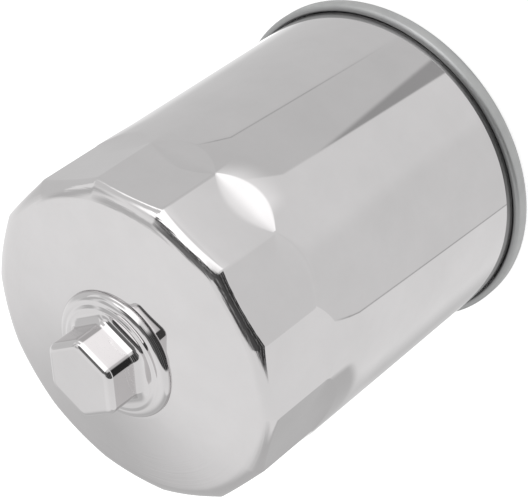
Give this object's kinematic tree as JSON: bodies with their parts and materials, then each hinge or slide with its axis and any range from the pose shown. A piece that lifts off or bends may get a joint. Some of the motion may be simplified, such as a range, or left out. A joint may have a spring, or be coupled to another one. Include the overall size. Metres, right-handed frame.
{
  "type": "spin-on oil filter",
  "caption": "Chromed spin-on oil filter: drawn can with wrench flats and a hex drive nut, seamed base with gasket and threaded plate, sprung pleated element inside.",
  "frame": {"origin": "centre of the gasket's sealing face, which is the lowest plane of the filter", "axes": "+Z along the thread's axis, from the gasket to the hex nut; -Y through a corner between two wrench flats"},
  "size_m": [0.0796, 0.0796, 0.1046],
  "materials": {
    "chrome_shell": "polished decorative chrome over drawn steel",
    "chrome_nut": "polished decorative chrome over pressed steel",
    "seam_steel": "satin plated sheet steel, rolled seam",
    "compound": "cured seaming compound",
    "plate_steel": "zinc plated steel",
    "gasket_rubber": "oiled nitrile rubber",
    "silicone": "moulded red silicone rubber",
    "tin_plate": "bright tin plate",
    "adhesive": "cured plastisol",
    "media": "resin treated pleated filter paper",
    "spring_steel": "oiled spring wire"
  },
  "bodies": {
    "can": {"shell": "chrome_shell", "wrench_nut": "chrome_nut", "seam_retainer": "seam_steel", "seam_compound": "compound", "tapping_plate": "plate_steel", "gasket": "gasket_rubber", "element_seal": "silicone", "element_spring": "spring_steel"},
    "drainback_flap": {"anti_drainback_flap": "silicone"},
    "element": {"lower_end_cap": "tin_plate", "lower_adhesive": "adhesive", "center_tube": "tin_plate", "media_pack": "media", "media_seam_clip": "tin_plate", "upper_adhesive": "adhesive", "upper_end_cap": "tin_plate", "bypass_valve_body": "tin_plate", "bypass_seal": "gasket_rubber", "bypass_spring": "spring_steel"},
    "bypass_poppet": {"bypass_poppet": "plate_steel"}
  },
  "joints": [
    {"name": "element_lift", "type": "slide", "parent": "can", "child": "element", "axis": [0, 0, 1], "range_m": [0, 0.0015], "stiffness_N_per_m": 6000, "springref_m": -0.008, "deforming": ["element_spring"]},
    {"name": "bypass_open", "type": "slide", "parent": "element", "child": "bypass_poppet", "axis": [0, 0, -1], "range_m": [0, 0.0032], "stiffness_N_per_m": 1200, "springref_m": -0.0088, "deforming": ["bypass_spring"]},
    {"name": "drainback_lift", "type": "slide", "parent": "can", "child": "drainback_flap", "axis": [0, 0, 1], "range_m": [0, 0.0011], "stiffness_N_per_m": 300, "springref_m": -0.002, "deforming": ["anti_drainback_flap"]}
  ]
}
